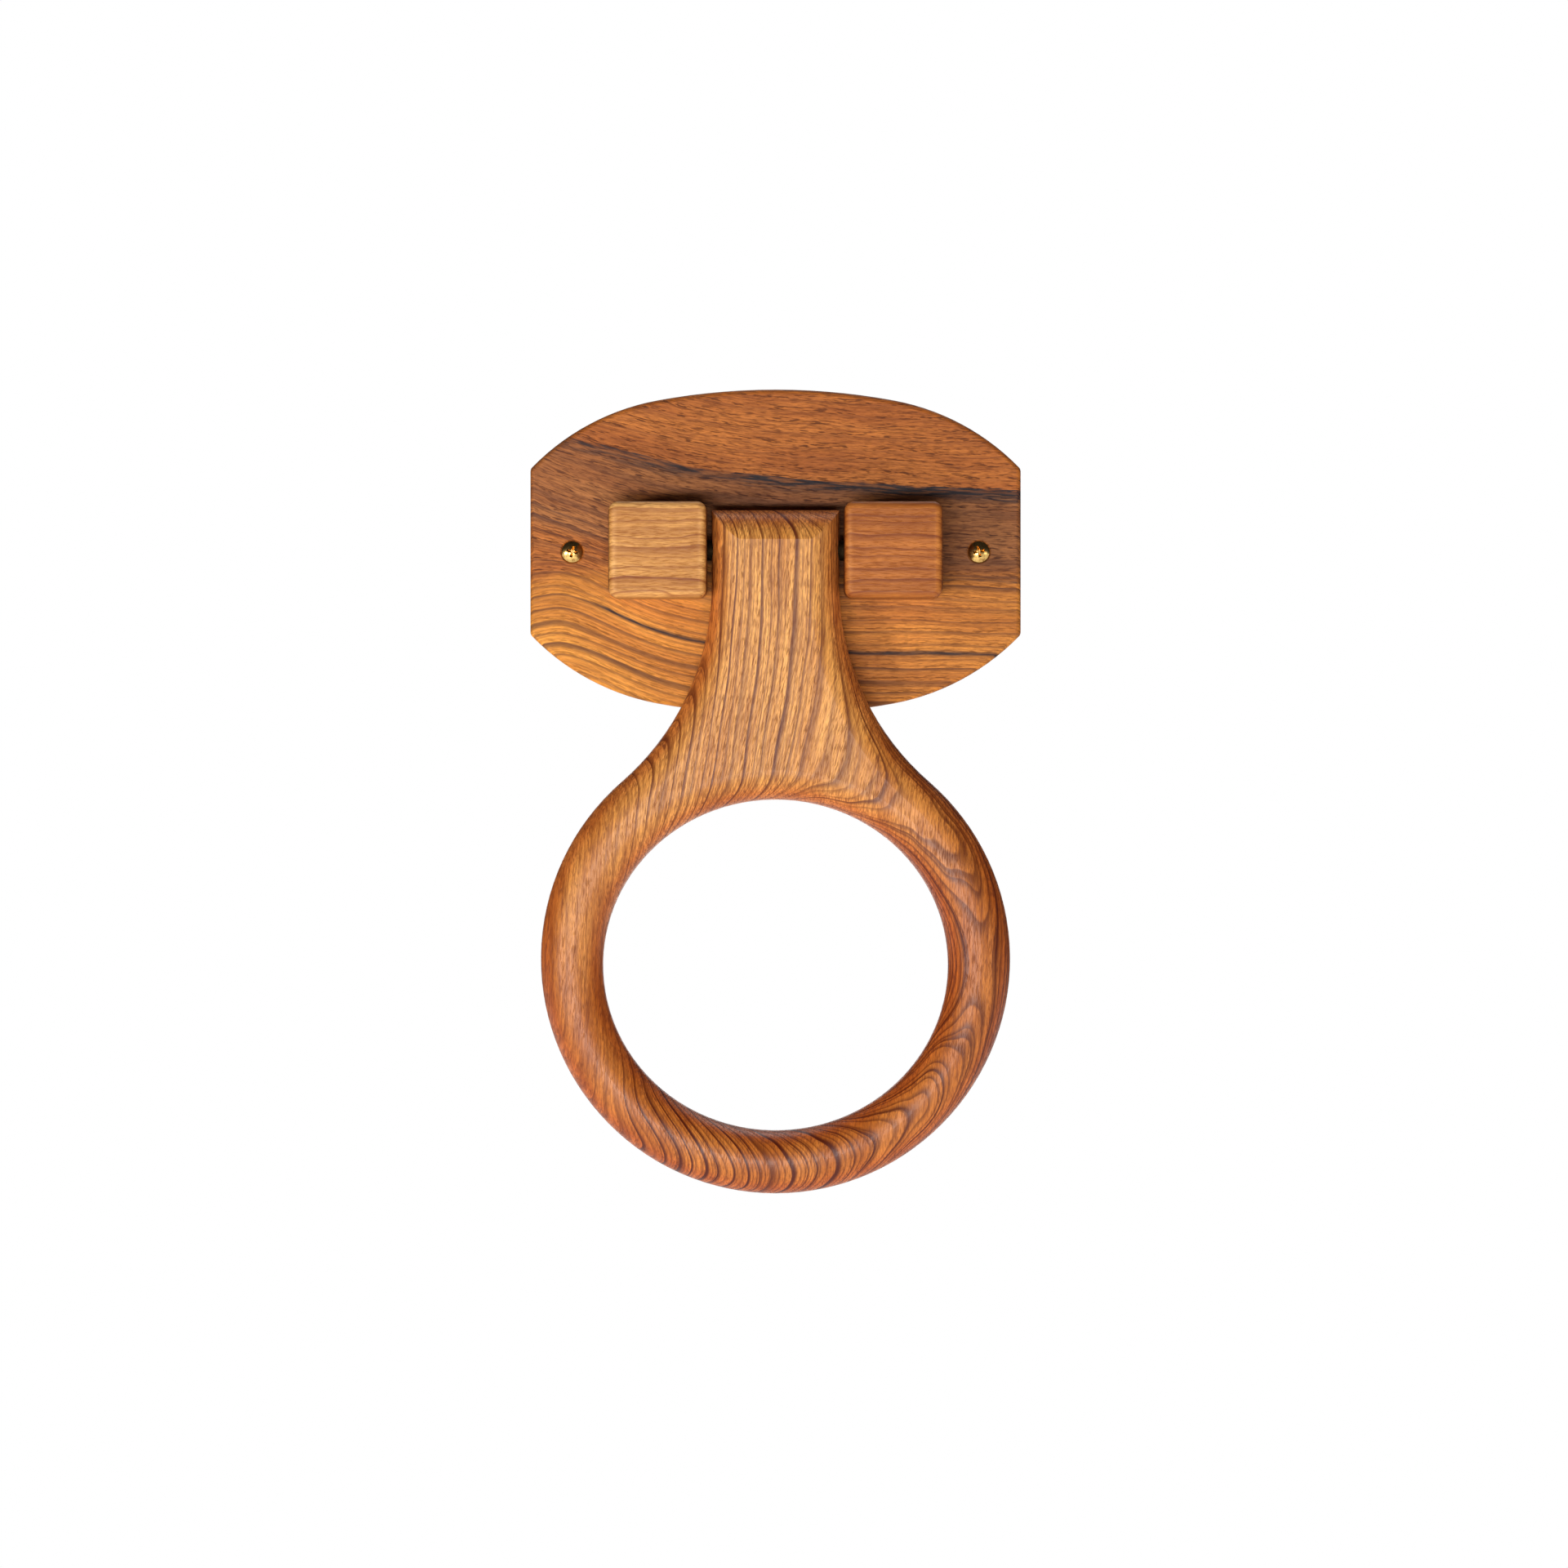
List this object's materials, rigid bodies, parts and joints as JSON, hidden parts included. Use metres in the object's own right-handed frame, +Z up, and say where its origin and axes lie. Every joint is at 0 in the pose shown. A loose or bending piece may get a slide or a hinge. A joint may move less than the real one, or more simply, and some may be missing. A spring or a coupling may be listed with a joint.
{
  "type": "hinged grab ring",
  "caption": "Teak ring handle on a flared neck that hangs and swings from a pin between square blocks on a bow-edged wall plate, as a hand hold or towel ring.",
  "frame": {"origin": "centre of the plate's back face, which lies on the wall", "axes": "+X to the right along the hinge pin, +Y into the wall, +Z up; the ring hangs towards -Z"},
  "size_m": [0.151, 0.0576, 0.2468],
  "materials": {
    "plate_teak": "satin",
    "left_block_teak": "satin",
    "right_block_teak": "satin",
    "handle_teak": "satin",
    "pin_brass": "satin",
    "brass": "satin"
  },
  "bodies": {
    "mount": {"back_plate": "plate_teak", "left_pivot_block": "left_block_teak", "right_pivot_block": "right_block_teak", "pivot_pin": "pin_brass", "left_mount_screw": "brass", "right_mount_screw": "brass", "left_upper_block_screw": "brass", "left_lower_block_screw": "brass", "right_upper_block_screw": "brass", "right_lower_block_screw": "brass"},
    "ring": {"ring_handle": "handle_teak"}
  },
  "joints": [
    {"name": "ring_swing", "type": "hinge", "parent": "mount", "child": "ring", "pos_m": [0, -0.0255, 0], "axis": [-1, 0, 0], "range_deg": [-4, 184]}
  ]
}
